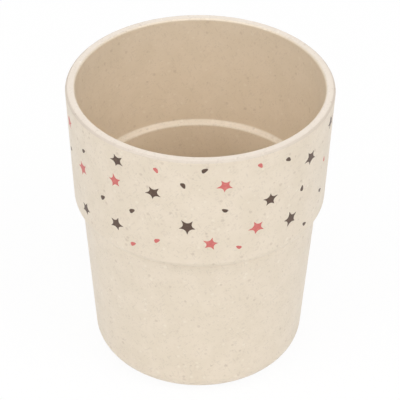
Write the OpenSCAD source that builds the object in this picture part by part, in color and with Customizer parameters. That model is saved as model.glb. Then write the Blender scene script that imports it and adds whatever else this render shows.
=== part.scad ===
// Child's stacking tumbler: one moulded shell with a wider band over a step,
// and a scattered print of stars and dots on the band.
// Sizes are in millimetres. The cup stands at height 0, its axis is Z and its front faces -Y.

/* [Cup] */
// Outside diameter at the rim, before its edge is rounded
rim_d = 80; // [72:0.5:90]
// Height from the table to the rim
cup_h = 93.5; // [86:0.5:108]

/* [Band] */
// Height of the band's foot above the table, before it is rounded
band_foot_h = 54.9; // [44:0.1:60]
// How much the band's radius narrows from the rim to its foot
band_taper = 1.7; // [0.8:0.1:3]
// Rounding over the foot of the band
band_foot_round = 2.5; // [1.5:0.1:3]
// How far the wall steps in under the band
step_in = 2.25; // [1.6:0.05:3]
// Height of the sloping underside of the step
step_drop = 1.4; // [1:0.1:2.5]
// Hollow fillet below the step
step_fillet = 0.8; // [0.6:0.1:2]

/* [Body] */
// How much the body's radius narrows from the step to the table
body_taper = 3.7; // [2.5:0.1:5]
// Rounding between the body and the base
base_round = 6.5; // [4:0.1:9]
// Width of the flat ring that the cup stands on
foot_w = 3; // [2:0.1:5]
// Depth of the hollow inside that ring
hollow_h = 0.9; // [0.4:0.1:1.4]
// Rounding of the hollow's two edges
hollow_round = 0.6; // [0.2:0.1:1]

/* [Wall] */
// Wall of the band, measured level
band_wall = 2.9; // [2.4:0.05:3.6]
// Wall of the body, measured level
body_wall = 2.35; // [1.8:0.05:2.6]
// Thickness of the floor at the middle, over the hollow
floor_t = 2.4; // [1.8:0.1:4]
// Hollow fillet between the floor and the bore
floor_fillet = 5; // [3:0.1:7]

/* [Rim] */
// Rounding of the rim's outer edge
rim_round = 0.95; // [0.6:0.05:1.5]
// Rounding of the rim's inner edge
mouth_round = 0.75; // [0.3:0.05:0.9]

/* [Inner ledge] */
// Height of the ledge's outer corner above the band's foot
ledge_lift = 1.8; // [0.6:0.1:2.5]
// How far the ledge falls towards the bore
ledge_fall = 0.8; // [0.4:0.1:1.5]
// Hollow fillet where the ledge meets the band
ledge_fillet = 0.8; // [0.4:0.1:1]
// Rounding of the ledge's inner edge
ledge_round = 1; // [0.4:0.1:1.4]

/* [Print] */
// Thickness of the printed film
film_t = 0.1; // [0.05:0.05:0.3]
// Radius over the tips of a full-size dark star
dark_star_r = 2.95; // [2:0.05:3.3]
// Radius over the tips of a full-size coral star
coral_star_r = 2.7; // [2:0.05:3.3]
// Length of a full-size dot
dot_l = 2.1; // [1.4:0.1:2.6]
// Width of a full-size dot
dot_w = 1.3; // [0.8:0.05:1.8]

/* [Hidden] */

// Sides of a full turn, and of the arcs that round the section's corners
turn_sides = 180;
arc_sides = 128;
// How far a cutting shape runs past what it cuts
overrun = 1;
// How far a rounding arc runs past the two sides that it joins, so that it crosses them cleanly
bite = 0.001;
// How far along those sides its piece reaches, as a share of the arc's own reach
piece_share = 1.2;

rim_r = rim_d / 2;
band_h = cup_h - band_foot_h;
band_foot_r = rim_r - band_taper;
band_lean = atan(band_taper / band_h);
waist_r = band_foot_r - step_in;
waist_h = band_foot_h - step_drop;
base_r = waist_r - body_taper;
body_lean = atan(body_taper / waist_h);

// The foot ring lies just inside the rounding of the base
foot_out_r = base_r - base_round * tan((90 - body_lean) / 2);
foot_in_r = foot_out_r - foot_w;
hollow_r = foot_in_r - hollow_h;

floor_top = hollow_h + floor_t;
ledge_top = band_foot_h + ledge_lift;
ledge_edge = ledge_top - ledge_fall;

// Print places, each as degrees round from the front, share of the band's height,
// degrees that the mark is turned and share of its full size
dark_star_shares = [
    [-60.5, 0.167, 342, 0.9],
    [-38.5, 0.245, 342, 0.94],
    [-36.3, 0.862, 312, 0.9],
    [-19.5, 0.668, 318, 0.92],
    [-5, 0.387, 36, 1.02],
    [31.3, 0.547, 288, 0.91],
    [43.5, 0.265, 12, 1.02],
    [54, 0.744, 102, 1],
    [73.8, 0.856, 90, 0.93],
];
coral_star_shares = [
    [-74, 0.832, 144, 0.94],
    [-60.5, 0.555, 168, 1.05],
    [-38, 0.66, 12, 0.97],
    [5, 0.225, 60, 0.98],
    [10.6, 0.769, 102, 0.98],
    [25.5, 0.316, 96, 1.06],
];
dark_dot_shares = [
    [-76, 0.557, 20, 0.95],
    [-58.3, 0.74, 37, 0.9],
    [-46, 0.43, 45, 1.02],
    [-29.8, 0.438, 44, 1],
    [-6.7, 0.777, 300, 1],
    [2, 0.921, 39, 1],
    [10.8, 0.537, 156, 0.92],
    [39.4, 0.863, 325, 0.97],
    [49.5, 0.498, 91, 0.98],
    [53.9, 0.111, 151, 0.9],
    [67, 0.291, 150, 0.95],
];
coral_dot_shares = [
    [-30, 0.116, 36, 0.95],
    [-18.4, 0.214, 39, 0.96],
    [-18, 0.886, 305, 0.92],
    [17.5, 0.162, 153, 0.85],
    [25.5, 0.901, 309, 0.92],
    [68.5, 0.57, 100, 0.85],
];
// Marks at the two sides, which close the gaps between the halves of the print
side_dark_star_shares = [
    [91, 0.47, 40, 0.92],
];
side_coral_star_shares = [
    [88.5, 0.165, 12, 0.94],
    [91.5, 0.75, 48, 0.96],
];
side_dark_dot_shares = [
    [86.5, 0.61, 60, 1],
    [93.5, 0.3, 130, 0.95],
];
side_coral_dot_shares = [
    [88, 0.91, 30, 0.92],
];

// Reach of a star's tips, uneven as if drawn by hand, as shares of its radius
star_tip_shares = [1, 0.85, 0.94, 0.82, 0.92];
// Reach of the corners between them, and the wide rounding that hollows its sides, as shares
// of the same radius
star_notch_share = 0.36;
notch_round_share = 0.42;
// Points of a dot, how far its three corners stand out, and the angle of the first one
dot_points = 12;
dot_corner_share = 0.12;
dot_first_corner = -15;

// Outside radius of the band at a height
function band_r(h) = rim_r - (cup_h - h) * band_taper / band_h;

// Outside radius of the body at a height
function body_r(h) = base_r + h * body_taper / waist_h;

// Direction from one point to another
function heading(from, to) = (to - from) / norm(to - from);

// Corner of an outline by its number, counted round past either end
function corner_at(corners, i) =
    let (c = corners[(i + len(corners)) % len(corners)])
    [c.x, c.y];

function to_before(corners, i) = heading(corner_at(corners, i), corner_at(corners, i - 1));

function to_after(corners, i) = heading(corner_at(corners, i), corner_at(corners, i + 1));

// Half of the angle between the two sides that meet at a corner
function half_angle(corners, i) = acos(to_before(corners, i) * to_after(corners, i)) / 2;

function bulges(corners, i) = cross(to_after(corners, i), to_before(corners, i)) > 0;

// Points on the two sides of a corner; at a share of 1 the arc that rounds it begins and ends there
function side_points(corners, i, share) =
    let (reach = share * corners[i].z / tan(half_angle(corners, i)))
    [
        corner_at(corners, i) + reach * to_before(corners, i),
        corner_at(corners, i) + reach * to_after(corners, i),
    ];

// Wall section as [radius, height, corner rounding], from the base round to the floor
section = [
    [0, hollow_h, 0],
    [hollow_r, hollow_h, hollow_round],
    [foot_in_r, 0, hollow_round],
    [base_r, 0, base_round],
    [waist_r, waist_h, step_fillet],
    [band_foot_r, band_foot_h, band_foot_round],
    [rim_r, cup_h, rim_round],
    [rim_r - band_wall, cup_h, mouth_round],
    [band_r(ledge_top) - band_wall, ledge_top, ledge_fillet],
    [body_r(ledge_edge) - body_wall, ledge_edge, ledge_round],
    [body_r(floor_top) - body_wall, floor_top, floor_fillet],
    [0, floor_top, 0],
];

// Piece of a corner's rounding circle, from its arc back past the line between the arc's ends
module arc_piece(corners, i) {
    ends = side_points(corners, i, piece_share);
    inward = heading([0, 0], to_before(corners, i) + to_after(corners, i));
    radius = corners[i].z;
    intersection() {
        polygon([ends[0], corner_at(corners, i) - overrun * inward, ends[1]]);
        translate(corner_at(corners, i) + radius / sin(half_angle(corners, i)) * inward)
            circle(r = radius + bite, $fn = arc_sides);
    }
}

// The pieces of all rounded corners that bulge, or of all that are hollow
module arc_pieces(corners, bulging) {
    for (i = [0 : len(corners) - 1])
        if (corners[i].z > 0 && bulges(corners, i) == bulging)
            arc_piece(corners, i);
}

// An outline whose corners are true arcs, its corners listed anticlockwise
module rounded_outline(corners) {
    difference() {
        union() {
            polygon([
                for (i = [0 : len(corners) - 1])
                    each corners[i].z > 0 ? side_points(corners, i, 1) : [corner_at(corners, i)]
            ]);
            arc_pieces(corners, true);
        }
        arc_pieces(corners, false);
    }
}

module cup_shell() {
    color([0.91, 0.85, 0.77])
        rotate_extrude($fn = turn_sides)
            rounded_outline(section);
}

// Thin layer that lies on the band's outer face
module film() {
    rotate_extrude($fn = turn_sides)
        polygon([
            [band_foot_r, band_foot_h],
            [band_foot_r + film_t, band_foot_h],
            [rim_r + film_t, cup_h],
            [rim_r, cup_h],
        ]);
}

// Star outline with its first tip straight up
module star(radius) {
    count = len(star_tip_shares);
    step = 180 / count;
    rounded_outline([
        for (i = [0 : 2 * count - 1])
            let (
                tip = i % 2 == 0,
                r = radius * (tip ? star_tip_shares[i / 2] : star_notch_share)
            )
            [-r * sin(i * step), r * cos(i * step), tip ? 0 : radius * notch_round_share]
    ]);
}

// Uneven dot, longest along X, with three soft corners
module dot(share) {
    polygon([
        for (i = [0 : dot_points - 1])
            let (
                a = i * 360 / dot_points,
                swell = 1 + dot_corner_share * cos(3 * (a - dot_first_corner))
            )
            share * swell / 2 * [dot_l * cos(a), dot_w * sin(a)]
    ]);
}

// Stands an outline on the band, as seen from outside, and runs it through the film
module on_band(place) {
    h = band_foot_h + place[1] * band_h;
    rotate([0, 0, place[0] - 90])
        translate([band_r(h), 0, h])
            rotate([0, band_lean, 0])
                rotate([90, 0, 90])
                    linear_extrude(height = 2 * overrun, center = true)
                        rotate(place[2])
                            children();
}

// The print of the front half comes again on the back half
module stars(places, radius) {
    for (half = [0, 180])
        rotate([0, 0, half])
            for (place = places)
                on_band(place)
                    star(radius * place[3]);
}

module dots(places) {
    for (half = [0, 180])
        rotate([0, 0, half])
            for (place = places)
                on_band(place)
                    dot(place[3]);
}

module dark_stars() {
    color([0.39, 0.34, 0.31])
        intersection() {
            film();
            stars(concat(dark_star_shares, side_dark_star_shares), dark_star_r);
        }
}

module coral_stars() {
    color([0.86, 0.47, 0.44])
        intersection() {
            film();
            stars(concat(coral_star_shares, side_coral_star_shares), coral_star_r);
        }
}

module dark_dots() {
    color([0.39, 0.34, 0.31])
        intersection() {
            film();
            dots(concat(dark_dot_shares, side_dark_dot_shares));
        }
}

module coral_dots() {
    color([0.86, 0.47, 0.44])
        intersection() {
            film();
            dots(concat(coral_dot_shares, side_coral_dot_shares));
        }
}

cup_shell();
dark_stars();
coral_stars();
dark_dots();
coral_dots();
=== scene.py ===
"""Child's stacking tumbler: a turned shell in plant-fibre compound, its scattered print, and a pale studio.

Metres throughout, +Z up, the cup stands at height 0 and its front faces -Y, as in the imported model.
"""
import math

import bpy
from mathutils import Matrix, Vector


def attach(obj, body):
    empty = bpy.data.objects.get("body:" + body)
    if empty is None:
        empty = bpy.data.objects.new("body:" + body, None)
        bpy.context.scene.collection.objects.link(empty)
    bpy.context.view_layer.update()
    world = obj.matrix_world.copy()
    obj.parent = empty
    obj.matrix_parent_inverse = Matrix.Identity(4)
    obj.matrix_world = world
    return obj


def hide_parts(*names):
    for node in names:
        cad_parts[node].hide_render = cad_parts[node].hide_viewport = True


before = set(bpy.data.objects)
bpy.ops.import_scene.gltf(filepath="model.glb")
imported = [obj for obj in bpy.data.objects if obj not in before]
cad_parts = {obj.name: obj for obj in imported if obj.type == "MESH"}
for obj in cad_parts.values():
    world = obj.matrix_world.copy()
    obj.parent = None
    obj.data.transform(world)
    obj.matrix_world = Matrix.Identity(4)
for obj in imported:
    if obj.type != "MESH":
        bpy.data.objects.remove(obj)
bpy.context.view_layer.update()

MM = 0.001

# The shell's sizes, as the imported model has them
RIM_R = 40 * MM
CUP_H = 93.5 * MM
BAND_FOOT_H = 54.9 * MM
BAND_TAPER = 1.7 * MM
BAND_FOOT_ROUND = 2.5 * MM
STEP_IN = 2.25 * MM
STEP_DROP = 1.4 * MM
STEP_FILLET = 0.8 * MM
BODY_TAPER = 3.7 * MM
BASE_ROUND = 6.5 * MM
FOOT_W = 3 * MM
HOLLOW_H = 0.9 * MM
HOLLOW_ROUND = 0.6 * MM
BAND_WALL = 2.9 * MM
BODY_WALL = 2.35 * MM
FLOOR_T = 2.4 * MM
FLOOR_FILLET = 5 * MM
RIM_ROUND = 0.95 * MM
MOUTH_ROUND = 0.75 * MM
LEDGE_LIFT = 1.8 * MM
LEDGE_FALL = 0.8 * MM
LEDGE_FILLET = 0.8 * MM
LEDGE_ROUND = 1 * MM

BAND_H = CUP_H - BAND_FOOT_H
BAND_FOOT_R = RIM_R - BAND_TAPER
BAND_LEAN = math.atan2(BAND_TAPER, BAND_H)
WAIST_R = BAND_FOOT_R - STEP_IN
WAIST_H = BAND_FOOT_H - STEP_DROP
BASE_R = WAIST_R - BODY_TAPER
BODY_LEAN = math.atan2(BODY_TAPER, WAIST_H)
FOOT_OUT_R = BASE_R - BASE_ROUND * math.tan((math.pi / 2 - BODY_LEAN) / 2)
FOOT_IN_R = FOOT_OUT_R - FOOT_W
HOLLOW_R = FOOT_IN_R - HOLLOW_H
FLOOR_TOP = HOLLOW_H + FLOOR_T
LEDGE_TOP = BAND_FOOT_H + LEDGE_LIFT
LEDGE_EDGE = LEDGE_TOP - LEDGE_FALL

# A cone that lies midway in the wall from base to rim: its radius at the table and its growth with height
MID_WALL_R = BASE_R - BODY_WALL / 2
MID_WALL_GROWTH = (RIM_R - BAND_WALL / 2 - MID_WALL_R) / CUP_H

# Sides of the turned shell
TURN_SIDES = 288
# How close a point lies to a place to be picked there
NEAR = 0.01 * MM

# How far the print stands out of the wall, and how far its underside sinks in
INK_PROUD = 0.03 * MM
INK_SUNK = 0.03 * MM
# Edges of the print that turn by more than this are drawn sharp
SHARP_EDGE = math.radians(40)
DARK_STAR_R = 2.95 * MM
CORAL_STAR_R = 2.7 * MM
DOT_L = 2.1 * MM
DOT_W = 1.3 * MM

# Print places, each as degrees round from the front, share of the band's height,
# degrees that the mark is turned and share of its full size
DARK_STARS = [
    (-60.5, 0.167, 342, 0.9), (-38.5, 0.245, 342, 0.94), (-36.3, 0.862, 312, 0.9),
    (-19.5, 0.668, 318, 0.92), (-5, 0.387, 36, 1.02), (31.3, 0.547, 288, 0.91),
    (43.5, 0.265, 12, 1.02), (54, 0.744, 102, 1), (73.8, 0.856, 90, 0.93), (91, 0.47, 40, 0.92),
]
CORAL_STARS = [
    (-74, 0.832, 144, 0.94), (-60.5, 0.555, 168, 1.05), (-38, 0.66, 12, 0.97), (5, 0.225, 60, 0.98),
    (10.6, 0.769, 102, 0.98), (25.5, 0.316, 96, 1.06), (88.5, 0.165, 12, 0.94), (91.5, 0.75, 48, 0.96),
]
DARK_DOTS = [
    (-76, 0.557, 20, 0.95), (-58.3, 0.74, 37, 0.9), (-46, 0.43, 45, 1.02), (-29.8, 0.438, 44, 1),
    (-6.7, 0.777, 300, 1), (2, 0.921, 39, 1), (10.8, 0.537, 156, 0.92), (39.4, 0.863, 325, 0.97),
    (49.5, 0.498, 91, 0.98), (53.9, 0.111, 151, 0.9), (67, 0.291, 150, 0.95),
    (86.5, 0.61, 60, 1), (93.5, 0.3, 130, 0.95),
]
CORAL_DOTS = [
    (-30, 0.116, 36, 0.95), (-18.4, 0.214, 39, 0.96), (-18, 0.886, 305, 0.92), (17.5, 0.162, 153, 0.85),
    (25.5, 0.901, 309, 0.92), (68.5, 0.57, 100, 0.85), (88, 0.91, 30, 0.92),
]

# Reach of a star's tips and of its notches, as shares of its radius, and how far each is rounded
STAR_TIPS = (1, 0.85, 0.94, 0.82, 0.92)
STAR_NOTCH = 0.36
NOTCH_SOFT = 0.32
TIP_SOFT = 0.03
# Points round a dot, how far its three corners stand out, and where the first one lies
DOT_POINTS = 24
DOT_CORNERS = 0.12
DOT_FIRST_CORNER = math.radians(-15)

# Stands a flat mark up, so that it faces along +X with its top upwards
FACE_ALONG_X = Matrix(((0, 0, 1, 0), (1, 0, 0, 0), (0, 1, 0, 0), (0, 0, 0, 1)))

# The camera, fitted to the photo's rim, step line and silhouette
LOOKS_AT = Vector((0.1885 * MM, 0, 50.77 * MM))
CAMERA_AWAY = 584.19 * MM
CAMERA_ELEVATION = math.radians(36.55)
CAMERA_ROLL = math.radians(0.5137)
LENS_MM = 170.25
SENSOR_MM = 36
# The nearest and the farthest that it sees
CLIP_NEAR = 0.01
CLIP_FAR = 20


def srgb(*levels):
    """Linear colour from 8-bit display levels."""
    return tuple(v / 3294.6 if v <= 10.31 else ((v / 255 + 0.055) / 1.055) ** 2.4 for v in levels)


STRAW_PALE = srgb(229, 215, 195)
STRAW_WARM = srgb(225, 211, 190)
STRAW_SHADE = srgb(218, 202, 181)
# Painted warm light for the walls inside, standing for light bounced about inside the cup
STRAW_PAINTED_WARM_LIGHT = srgb(240, 216, 183)
HUSK_BROWN = srgb(166, 143, 124)
HUSK_GREY = srgb(178, 163, 148)
CHAFF_WHITE = srgb(246, 238, 222)
# Painted sheen on the rim's flat, a greyer and bluer tone, and painted shade on its outer rounding, a
# darker tone
RIM_FLAT_PAINTED_SHEEN = srgb(223, 211, 197)
RIM_EDGE_PAINTED_SHADE = srgb(205, 192, 178)
INK_DARK = srgb(84, 61, 46)
INK_DARK_WORN = srgb(104, 83, 68)
INK_CORAL = srgb(206, 105, 100)
INK_CORAL_WORN = srgb(215, 131, 122)

# The ways that the fibres in the wall lie, as degrees of turn about X, Y and Z
FIBRE_TURNS = [(20, 65, 10), (-35, 25, 80), (70, -15, 40), (5, -50, -30)]

# The smallest fleck as a share of the largest, and the core that a fleck's soft edge leaves full
FLECK_SMALLEST = 0.45
FLECK_CORE = 0.45

# The studio: a sheet of paper and an even sky, how white they look, and how much light they give
PAPER_SIZE = 6
PAPER_WHITE = 0.95
PAPER_SEEN_SHARE = 0.92
SKY_SEEN = 1
SKY_GATHERED = 0.38

# Softboxes, each as degrees round from the front, degrees up, metres away, width and height, watts
SOFTBOXES = {
    "overhead softbox": (0, 90, 2.3, (1.8, 1.8), 11.4),
    "front softbox": (0, 35, 2.8, (1.6, 1), 17.4),
    "left softbox": (-60, 45, 2.4, (1.6, 1.2), 15),
    "right softbox": (60, 45, 2.4, (1.6, 1.2), 15.8),
    "back softbox": (180, 30, 2.8, (2, 1.2), 7),
}


# Modelling


def start_afresh():
    """Leaves object mode with nothing selected, so that the next operator touches only its own piece."""
    if bpy.context.object and bpy.context.object.mode != "OBJECT":
        bpy.ops.object.mode_set(mode="OBJECT")
    bpy.ops.object.select_all(action="DESELECT")


def work_on(*pieces):
    """Selects the pieces alone and makes the first one active."""
    start_afresh()
    for piece in pieces:
        piece.select_set(True)
    bpy.context.view_layer.objects.active = pieces[0]


def pick(piece, kind, elements, wanted):
    """Selects, in edit mode, the points, edges or faces that pass a test."""
    bpy.ops.object.mode_set(mode="EDIT")
    bpy.ops.mesh.select_mode(type=kind)
    bpy.ops.mesh.select_all(action="DESELECT")
    bpy.ops.object.mode_set(mode="OBJECT")
    for element in getattr(piece.data, elements):
        element.select = wanted(element)
    bpy.ops.object.mode_set(mode="EDIT")


def pick_points(piece, wanted):
    """Selects the points whose place passes a test."""
    pick(piece, "VERT", "vertices", lambda point: wanted(point.co))


def pick_edges(piece, wanted):
    """Selects the edges whose two ends both pass a test of their place."""
    pick(piece, "EDGE", "edges",
         lambda edge: all(wanted(piece.data.vertices[v].co) for v in edge.vertices))


def pick_faces(piece, wanted):
    """Selects the faces that pass a test."""
    pick(piece, "FACE", "polygons", wanted)


def on_ring(radius, height):
    """Test for points on a ring round the cup's axis."""
    return lambda co: abs(math.hypot(co.x, co.y) - radius) < NEAR and abs(co.z - height) < NEAR


def apply(piece, kind, **settings):
    """Adds a modifier with these settings and applies it."""
    work_on(piece)
    modifier = piece.modifiers.new(kind.lower(), kind)
    for name, value in settings.items():
        setattr(modifier, name, value)
    bpy.ops.object.modifier_apply(modifier=modifier.name)


def face_outwards(piece):
    """Turns every face of a closed piece outwards."""
    work_on(piece)
    bpy.ops.object.mode_set(mode="EDIT")
    bpy.ops.mesh.select_all(action="SELECT")
    bpy.ops.mesh.normals_make_consistent(inside=False)
    bpy.ops.object.mode_set(mode="OBJECT")


# The shell


def band_radius(height):
    """How far the band's outside is from the axis at a height, but for its roundings."""
    return RIM_R - (CUP_H - height) * BAND_TAPER / BAND_H


def body_radius(height):
    """How far the body's outside is from the axis at a height, but for its roundings."""
    return BASE_R + height * BODY_TAPER / WAIST_H


def wall_corners():
    """Corners of the wall from the hollow underneath, up the outside and down to the floor inside,
    each with its radius, its height, its rounding and the number of facets that make the rounding."""
    return [
        (HOLLOW_R, HOLLOW_H, HOLLOW_ROUND, 4),
        (FOOT_IN_R, 0, HOLLOW_ROUND, 4),
        (BASE_R, 0, BASE_ROUND, 14),
        (WAIST_R, WAIST_H, STEP_FILLET, 6),
        (BAND_FOOT_R, BAND_FOOT_H, BAND_FOOT_ROUND, 8),
        (RIM_R, CUP_H, RIM_ROUND, 10),
        (RIM_R - BAND_WALL, CUP_H, MOUTH_ROUND, 8),
        (band_radius(LEDGE_TOP) - BAND_WALL, LEDGE_TOP, LEDGE_FILLET, 6),
        (body_radius(LEDGE_EDGE) - BODY_WALL, LEDGE_EDGE, LEDGE_ROUND, 8),
        (body_radius(FLOOR_TOP) - BODY_WALL, FLOOR_TOP, FLOOR_FILLET, 12),
    ]


def tangent_length(before, corner, after, rounding):
    """How far from a corner its rounding begins, measured along either side."""
    to_before = Vector(before) - Vector(corner)
    to_after = Vector(after) - Vector(corner)
    return rounding / math.tan(to_before.angle(to_after) / 2)


def turn_shell():
    """The moulded shell: a disc under the floor grown ring by ring up the outside and down the inside,
    closed with the floor, then every corner ring is rounded."""
    corners = wall_corners()
    start_afresh()
    radius, height = corners[0][:2]
    bpy.ops.mesh.primitive_circle_add(
        vertices=TURN_SIDES, radius=radius, fill_type="NGON", location=(0, 0, height))
    shell = bpy.context.object
    shell.name = shell.data.name = "moulded_shell"
    bpy.ops.object.transform_apply(location=True)
    for next_radius, next_height, _, _ in corners[1:]:
        pick_edges(shell, on_ring(radius, height))
        bpy.ops.mesh.extrude_edges_move(TRANSFORM_OT_translate={"value": (0, 0, next_height - height)})
        grow = next_radius / radius
        bpy.ops.transform.resize(value=(grow, grow, 1), center_override=(0, 0, 0))
        radius, height = next_radius, next_height
    pick_edges(shell, on_ring(radius, height))
    bpy.ops.mesh.edge_face_add()

    outline = [(0, corners[0][1]), *[corner[:2] for corner in corners], (0, corners[-1][1])]
    for i, (radius, height, rounding, facets) in enumerate(corners):
        pick_edges(shell, on_ring(radius, height))
        bpy.ops.mesh.bevel(
            offset_type="OFFSET", offset=tangent_length(*outline[i:i + 3], rounding), segments=facets,
            profile=0.5, affect="EDGES", clamp_overlap=False)
    pick_faces(shell, lambda face: len(face.vertices) > 4)
    bpy.ops.mesh.poke()
    face_outwards(shell)
    bpy.ops.object.shade_smooth()
    # The large faces set the shading beside a rounding, so that only the rounding looks round
    apply(shell, "WEIGHTED_NORMAL", mode="FACE_AREA", weight=100)
    return shell


# The print


def cut_star(radius):
    """A flat star with thin uneven tips and hollow sides, its first tip towards +Y."""
    count = len(STAR_TIPS)
    start_afresh()
    bpy.ops.mesh.primitive_circle_add(vertices=2 * count, radius=radius, fill_type="NGON")
    star = bpy.context.object

    def corner_number(co):
        """Half steps round from the first tip, anticlockwise."""
        return round(math.atan2(-co.x, co.y) / math.pi * count) % (2 * count)

    for i in range(2 * count):
        reach = STAR_NOTCH if i % 2 else STAR_TIPS[i // 2]
        pick_points(star, lambda co: corner_number(co) == i)
        bpy.ops.transform.resize(value=(reach, reach, 1), center_override=(0, 0, 0))
    for odd, soft, facets in ((0, TIP_SOFT, 2), (1, NOTCH_SOFT, 6)):
        pick_points(star, lambda co: corner_number(co) % 2 == odd)
        bpy.ops.mesh.bevel(affect="VERTICES", offset=soft * radius, segments=facets, profile=0.5)
    fill_mark(star)
    return star


def cut_dot(length, width):
    """A flat pebble of a dot, longest along X, with three soft corners."""
    start_afresh()
    bpy.ops.mesh.primitive_circle_add(vertices=DOT_POINTS, radius=length / 2, fill_type="NGON")
    dot = bpy.context.object
    for i in range(DOT_POINTS):
        way = i * 2 * math.pi / DOT_POINTS
        swell = 1 + DOT_CORNERS * math.cos(3 * (way - DOT_FIRST_CORNER))
        start = Vector((math.cos(way), math.sin(way), 0)) * length / 2
        pick_points(dot, lambda co: (co - start).length < NEAR)
        bpy.ops.transform.resize(value=(swell, swell * width / length, 1), center_override=(0, 0, 0))
    fill_mark(dot)
    return dot


def fill_mark(mark):
    """Gives a flat mark enough inner points to lie round the wall."""
    pick_faces(mark, lambda face: True)
    bpy.ops.mesh.poke()
    bpy.ops.mesh.subdivide(number_cuts=2)
    bpy.ops.object.mode_set(mode="OBJECT")


def print_on_band(name, blank, places, shell):
    """Copies of a flat mark, laid on both halves of the band and given the ink's thickness."""
    marks = []
    for half in (0, math.pi):
        for degrees, share, turned, size in places:
            height = BAND_FOOT_H + share * BAND_H
            stand = (
                Matrix.Rotation(half + math.radians(degrees - 90), 4, "Z")
                @ Matrix.Translation((band_radius(height), 0, height))
                @ Matrix.Rotation(BAND_LEAN, 4, "Y")
                @ FACE_ALONG_X
                @ Matrix.Rotation(math.radians(turned), 4, "Z")
                @ Matrix.Scale(size, 4)
            )
            mark = bpy.data.objects.new(name, blank.data.copy())
            mark.data.transform(stand)
            bpy.context.scene.collection.objects.link(mark)
            marks.append(mark)
    work_on(*marks)
    bpy.ops.object.join()
    layer = bpy.context.object
    layer.name = layer.data.name = name
    apply(layer, "SHRINKWRAP", target=shell, wrap_method="NEAREST_SURFACEPOINT",
          wrap_mode="ABOVE_SURFACE", offset=INK_PROUD)
    face_outwards(layer)
    apply(layer, "SOLIDIFY", thickness=INK_PROUD + INK_SUNK, offset=-1)
    face_outwards(layer)
    bpy.ops.object.shade_smooth_by_angle(angle=SHARP_EDGE)
    return layer


# Materials


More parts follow.
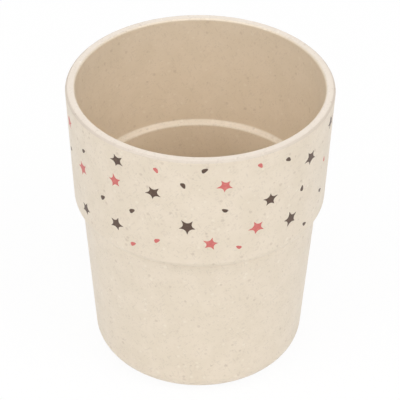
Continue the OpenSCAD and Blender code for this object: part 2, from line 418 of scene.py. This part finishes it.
class Recipe:
    """A material's nodes, with short calls for what it is mixed from. Sizes are in metres on the object."""

    def __init__(self, name):
        self.material = bpy.data.materials.new(name)
        self.material.use_nodes = True
        self.tree = self.material.node_tree
        self.shader = self.tree.nodes["Principled BSDF"]

    def node(self, kind, **settings):
        """A new shader node of this kind with these settings."""
        made = self.tree.nodes.new("ShaderNode" + kind)
        for name, value in settings.items():
            setattr(made, name, value)
        return made

    def feed(self, socket, value):
        """Links a socket, or sets a plain value or colour."""
        if isinstance(value, bpy.types.NodeSocket):
            self.tree.links.new(value, socket)
        elif socket.type == "RGBA":
            socket.default_value = (*value, 1)
        else:
            socket.default_value = value

    def spot(self):
        """The place on the object."""
        return self.node("TexCoord").outputs["Object"]

    def height(self, spot):
        """How far the place is above the table."""
        made = self.node("SeparateXYZ")
        self.feed(made.inputs[0], spot)
        return made.outputs["Z"]

    def out_from_axis(self, spot):
        """How far the place is from the cup's axis."""
        level = self.node("VectorMath", operation="MULTIPLY")
        self.feed(level.inputs[0], spot)
        level.inputs[1].default_value = (1, 1, 0)
        away = self.node("VectorMath", operation="LENGTH")
        self.feed(away.inputs[0], level.outputs[0])
        return away.outputs["Value"]

    def turned(self, spot, angles, squeeze):
        """The place in a frame turned by these angles in degrees, then squeezed along its axes."""
        made = self.node("Mapping", vector_type="TEXTURE")
        self.feed(made.inputs["Vector"], spot)
        made.inputs["Rotation"].default_value = [math.radians(a) for a in angles]
        made.inputs["Scale"].default_value = squeeze
        return made.outputs["Vector"]

    def clouds(self, spot, size, detail=2, rough=0.5):
        """Soft noise about 0.5, its blots of about this size."""
        made = self.node("TexNoise")
        self.feed(made.inputs["Vector"], spot)
        made.inputs["Scale"].default_value = 1 / size
        made.inputs["Detail"].default_value = detail
        made.inputs["Roughness"].default_value = rough
        return made.outputs["Fac"]

    def frayed(self, spot, size, reach):
        """The place pushed about by noise, so that what is drawn there gets a ragged outline."""
        noise = self.node("TexNoise")
        self.feed(noise.inputs["Vector"], spot)
        noise.inputs["Scale"].default_value = 1 / size
        pushed = self.node("VectorMath", operation="MULTIPLY_ADD")
        self.feed(pushed.inputs[0], noise.outputs["Color"])
        pushed.inputs[1].default_value = (reach,) * 3
        self.feed(pushed.inputs[2], spot)
        return pushed.outputs[0]

    def calc(self, operation, a, b):
        """Two values put together by a Math node."""
        made = self.node("Math", operation=operation)
        self.feed(made.inputs[0], a)
        self.feed(made.inputs[1], b)
        return made.outputs[0]

    def fade(self, value, start, end, low=0.0, high=1.0):
        """Goes smoothly from low to high as a value goes from start to end."""
        made = self.node("MapRange", interpolation_type="SMOOTHSTEP")
        for socket, part in zip(("Value", "From Min", "From Max", "To Min", "To Max"),
                                (value, start, end, low, high)):
            self.feed(made.inputs[socket], part)
        return made.outputs["Result"]

    def flecks(self, spot, cell, share, reach):
        """Flecks strewn one to a cell in this share of the cells, of uneven size up to this reach."""
        made = self.node("TexVoronoi", feature="F1")
        self.feed(made.inputs["Vector"], spot)
        made.inputs["Scale"].default_value = 1 / cell
        chance = self.node("SeparateColor")
        self.feed(chance.inputs["Color"], made.outputs["Color"])
        there = self.calc("LESS_THAN", chance.outputs[0], share)
        largest = reach / cell
        radius = self.fade(chance.outputs[1], 0, 1, low=FLECK_SMALLEST * largest, high=largest)
        inner = self.calc("MULTIPLY", radius, FLECK_CORE)
        fleck = self.fade(made.outputs["Distance"], start=radius, end=inner)
        return self.calc("MULTIPLY", fleck, there)

    def mix(self, share, below, above):
        """One colour over another, by a share."""
        made = self.node("Mix", data_type="RGBA")
        self.feed(made.inputs["Factor"], share)
        self.feed(made.inputs["A"], below)
        self.feed(made.inputs["B"], above)
        return made.outputs["Result"]

    def tint(self, below, above, where, strength):
        """One colour laid over another at this strength, where a mask says."""
        return self.mix(self.calc("MULTIPLY", where, strength), below, above)

    def finish(self, colour, roughness, relief, depth, specular=0.5):
        """Sends the colour, the roughness and a relief of this depth to the surface."""
        self.feed(self.shader.inputs["Base Color"], colour)
        self.feed(self.shader.inputs["Roughness"], roughness)
        self.shader.inputs["Specular IOR Level"].default_value = specular
        bump = self.node("Bump")
        bump.inputs["Strength"].default_value = 1
        bump.inputs["Distance"].default_value = depth
        self.feed(bump.inputs["Height"], relief)
        self.feed(self.shader.inputs["Normal"], bump.outputs["Normal"])
        return self.material


def paint_rim_sheen_and_shade(r, colour, up, out):
    """Painted light on the rim: its flat gets a painted sheen, a greyer and bluer tone, and its outer
    rounding a painted shade, a darker tone.
    """
    above = r.fade(up, start=CUP_H - 0.9 * RIM_ROUND, end=CUP_H - 0.5 * RIM_ROUND)
    outside = r.fade(out, start=RIM_R - 1.3 * RIM_ROUND, end=RIM_R - 0.9 * RIM_ROUND)
    flat = r.fade(up, start=CUP_H - 0.12 * RIM_ROUND, end=CUP_H - 0.03 * RIM_ROUND)
    # Painted shade darkens the outer rounding, then a painted sheen greys the flat
    colour = r.tint(colour, RIM_EDGE_PAINTED_SHADE, where=r.calc("MULTIPLY", above, outside), strength=0.85)
    return r.tint(colour, RIM_FLAT_PAINTED_SHEEN, where=flat, strength=0.9)


def paint_warm_light_inside(r, colour, up, out):
    """Painted warm light: the walls inside are tinted warmer, standing for light bounced about inside the
    cup, which also softens their flecks.
    The ledge and the rim, which catch the light from above, stay pale."""
    past_cone = r.calc("SUBTRACT", out, r.calc("MULTIPLY", up, MID_WALL_GROWTH))
    inside = r.fade(past_cone, start=MID_WALL_R + 0.15 * MM, end=MID_WALL_R - 0.15 * MM)
    over_floor = r.fade(up, start=FLOOR_TOP - 0.3 * MM, end=FLOOR_TOP - 0.1 * MM)
    under_ledge = r.fade(up, start=LEDGE_EDGE, end=LEDGE_EDGE - LEDGE_ROUND)
    over_ledge = r.fade(up, start=LEDGE_TOP, end=LEDGE_TOP + LEDGE_FILLET)
    under_rim = r.fade(up, start=CUP_H, end=CUP_H - MOUTH_ROUND)
    body = r.calc("MULTIPLY", over_floor, under_ledge)
    band = r.calc("MULTIPLY", over_ledge, under_rim)
    walls = r.calc("MULTIPLY", inside, r.calc("ADD", body, band))
    # Painted warm light on the inner walls, a fifth of the way to the warm tone
    return r.tint(colour, STRAW_PAINTED_WARM_LIGHT, where=walls, strength=0.2)


def fibre_compound():
    """Beige moulding compound filled with ground straw: soft clouds, husk flecks and short fibres."""
    r = Recipe("fibre compound")
    spot = r.spot()
    up, out = r.height(spot), r.out_from_axis(spot)
    ragged = r.frayed(spot, size=0.9 * MM, reach=0.5 * MM)

    broad = r.fade(r.clouds(spot, size=6 * MM, detail=3), start=0.35, end=0.65)
    fine = r.fade(r.clouds(ragged, size=1.5 * MM, detail=3), start=0.5, end=0.75)
    colour = r.mix(broad, STRAW_WARM, STRAW_PALE)
    colour = r.tint(colour, STRAW_SHADE, where=fine, strength=0.5)
    # Painted sheen on the rim's flat and painted shade on its outer rounding
    colour = paint_rim_sheen_and_shade(r, colour, up, out)

    # Fibres lie in a few directions, and show as streaks or dots where the wall cuts them
    fibres = 0.0
    for angles in FIBRE_TURNS:
        along = r.turned(ragged, angles, squeeze=(1, 0.2, 0.2))
        streak = r.flecks(along, cell=3.2 * MM, share=0.3, reach=1.5 * MM)
        fibres = r.calc("MAXIMUM", streak, fibres)
    colour = r.tint(colour, HUSK_GREY, where=fibres, strength=0.2)

    blown = r.frayed(spot, size=1.3 * MM, reach=0.7 * MM)
    chaff = r.flecks(blown, cell=2 * MM, share=0.26, reach=0.75 * MM)
    dust = r.flecks(ragged, cell=1.2 * MM, share=0.3, reach=0.45 * MM)
    husks = r.flecks(ragged, cell=2.1 * MM, share=0.28, reach=0.75 * MM)
    colour = r.tint(colour, CHAFF_WHITE, where=chaff, strength=0.28)
    colour = r.tint(colour, HUSK_GREY, where=dust, strength=0.13)
    colour = r.tint(colour, HUSK_BROWN, where=husks, strength=0.26)
    # Painted warm light on the walls inside
    colour = paint_warm_light_inside(r, colour, up, out)

    # The foot ring is scuffed dull where the cup has slid about
    low = r.fade(up, start=0.35 * MM, end=0.02 * MM)
    slid = r.clouds(r.turned(spot, angles=(0, 0, 30), squeeze=(1, 0.2, 1)), size=2 * MM)
    scuffs = r.calc("MULTIPLY", low, r.fade(slid, start=0.45, end=0.6))
    colour = r.tint(colour, HUSK_GREY, where=scuffs, strength=0.3)

    satin = r.fade(r.clouds(spot, size=5 * MM), start=0.3, end=0.7, low=0.38, high=0.46)
    dull = r.calc("MULTIPLY", r.calc("MAXIMUM", husks, scuffs), 0.12)
    grain = r.calc("MULTIPLY", r.clouds(spot, size=0.7 * MM), 0.5)
    bits = r.calc("MULTIPLY", r.calc("MAXIMUM", husks, fibres), 0.4)
    return r.finish(colour, roughness=r.calc("ADD", satin, dull), relief=r.calc("ADD", grain, bits),
                    depth=0.015 * MM, specular=0.9)


def print_ink(name, fresh, worn):
    """Ink that covers the compound unevenly, a little paler where it lies thin."""
    r = Recipe(name)
    spot = r.spot()
    thin = r.fade(r.clouds(spot, size=0.8 * MM, detail=3, rough=0.6), start=0.45, end=0.7)
    ragged = r.frayed(spot, size=0.5 * MM, reach=0.2 * MM)
    pinholes = r.flecks(ragged, cell=0.7 * MM, share=0.15, reach=0.1 * MM)
    colour = r.tint(fresh, worn, where=thin, strength=0.6)
    colour = r.tint(colour, STRAW_WARM, where=pinholes, strength=0.4)
    satin = r.fade(thin, start=0, end=1, low=0.42, high=0.5)
    return r.finish(colour, roughness=satin, relief=r.clouds(spot, size=0.3 * MM), depth=0.006 * MM)


def dress(piece, material):
    """Gives a piece this material alone."""
    piece.data.materials.clear()
    piece.data.materials.append(material)


# The studio


def seen_or_mirrored(tree):
    """1 for what the camera or a reflection looks at, 0 for the light that a surface gathers."""
    path = tree.nodes.new("ShaderNodeLightPath")
    either = tree.nodes.new("ShaderNodeMath")
    either.operation = "MAXIMUM"
    tree.links.new(path.outputs["Is Camera Ray"], either.inputs[0])
    tree.links.new(path.outputs["Is Glossy Ray"], either.inputs[1])
    return either.outputs[0]


def lay_floor():
    """A sheet of white paper that looks nearly white wherever the cup's shadow leaves it."""
    start_afresh()
    bpy.ops.mesh.primitive_plane_add(size=PAPER_SIZE, location=(0, 0, 0))
    floor = bpy.context.object
    floor.name = "floor"
    paper = bpy.data.materials.new("studio paper")
    paper.use_nodes = True
    tree = paper.node_tree
    tree.nodes.clear()
    out = tree.nodes.new("ShaderNodeOutputMaterial")
    both = tree.nodes.new("ShaderNodeMixShader")
    matt = tree.nodes.new("ShaderNodeBsdfDiffuse")
    matt.inputs["Color"].default_value = (PAPER_WHITE, PAPER_WHITE, PAPER_WHITE, 1)
    glow = tree.nodes.new("ShaderNodeEmission")
    glow.inputs["Color"].default_value = (1, 1, 1, 1)
    part = tree.nodes.new("ShaderNodeMath")
    part.operation = "MULTIPLY"
    part.inputs[1].default_value = PAPER_SEEN_SHARE
    tree.links.new(seen_or_mirrored(tree), part.inputs[0])
    tree.links.new(part.outputs[0], both.inputs[0])
    tree.links.new(matt.outputs[0], both.inputs[1])
    tree.links.new(glow.outputs[0], both.inputs[2])
    tree.links.new(both.outputs[0], out.inputs["Surface"])
    dress(floor, paper)


def light_sky():
    """An even pale surround, plain white wherever it is seen or mirrored."""
    world = bpy.data.worlds.new("studio")
    bpy.context.scene.world = world
    world.use_nodes = True
    tree = world.node_tree
    tree.nodes.clear()
    out = tree.nodes.new("ShaderNodeOutputWorld")
    gathered = tree.nodes.new("ShaderNodeBackground")
    gathered.inputs["Color"].default_value = (1, 1, 1, 1)
    gathered.inputs["Strength"].default_value = SKY_GATHERED
    seen = tree.nodes.new("ShaderNodeBackground")
    seen.inputs["Color"].default_value = (1, 1, 1, 1)
    seen.inputs["Strength"].default_value = SKY_SEEN
    both = tree.nodes.new("ShaderNodeMixShader")
    tree.links.new(seen_or_mirrored(tree), both.inputs[0])
    tree.links.new(gathered.outputs[0], both.inputs[1])
    tree.links.new(seen.outputs[0], both.inputs[2])
    tree.links.new(both.outputs[0], out.inputs["Surface"])


def hang_lamp(name, round_from_front, elevation, away, size, watts):
    """A softbox at degrees round from the front and up, aimed at the middle of the cup."""
    light = bpy.data.lights.new(name, "AREA")
    light.shape = "RECTANGLE"
    light.size, light.size_y = size
    light.energy = watts
    lamp = bpy.data.objects.new(name, light)
    bpy.context.scene.collection.objects.link(lamp)
    azimuth, up = math.radians(round_from_front), math.radians(elevation)
    back = Vector((math.sin(azimuth) * math.cos(up), -math.cos(azimuth) * math.cos(up), math.sin(up)))
    lamp.location = Vector((0, 0, CUP_H / 2)) + away * back
    lamp.rotation_euler = back.to_track_quat("Z", "Y").to_euler()


def stand_camera():
    """The camera that took the photo, as fitted to it."""
    lens = bpy.data.cameras.new("camera")
    lens.lens = LENS_MM
    lens.sensor_width = SENSOR_MM
    lens.clip_start = CLIP_NEAR
    lens.clip_end = CLIP_FAR
    camera = bpy.data.objects.new("camera", lens)
    bpy.context.scene.collection.objects.link(camera)
    ahead = Vector((0, math.cos(CAMERA_ELEVATION), -math.sin(CAMERA_ELEVATION)))
    side = Vector((1, 0, 0))
    above = side.cross(ahead)
    right = math.cos(CAMERA_ROLL) * side + math.sin(CAMERA_ROLL) * above
    up = math.cos(CAMERA_ROLL) * above - math.sin(CAMERA_ROLL) * side
    camera.location = LOOKS_AT - CAMERA_AWAY * ahead
    camera.rotation_euler = Matrix((right, up, -ahead)).transposed().to_euler()
    bpy.context.scene.camera = camera


stand_camera()
lay_floor()
light_sky()
for name, setting in SOFTBOXES.items():
    hang_lamp(name, *setting)
bpy.context.scene.view_settings.view_transform = "Standard"

shell = turn_shell()
dress(shell, fibre_compound())
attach(shell, "root")
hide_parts("cup_shell")

dark_ink = print_ink("dark ink", INK_DARK, INK_DARK_WORN)
coral_ink = print_ink("coral ink", INK_CORAL, INK_CORAL_WORN)
dark_star, coral_star, dot = cut_star(DARK_STAR_R), cut_star(CORAL_STAR_R), cut_dot(DOT_L, DOT_W)
for node, blank, places, ink, slot in (
    ("dark_stars", dark_star, DARK_STARS, dark_ink, "dark_print"),
    ("coral_stars", coral_star, CORAL_STARS, coral_ink, "coral_print"),
    ("dark_dots", dot, DARK_DOTS, dark_ink, "dark_print"),
    ("coral_dots", dot, CORAL_DOTS, coral_ink, "coral_print"),
):
    layer = print_on_band(node + "_ink", blank, places, shell)
    dress(layer, ink)
    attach(layer, "root")
    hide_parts(node)
for blank in (dark_star, coral_star, dot):
    bpy.data.objects.remove(blank)
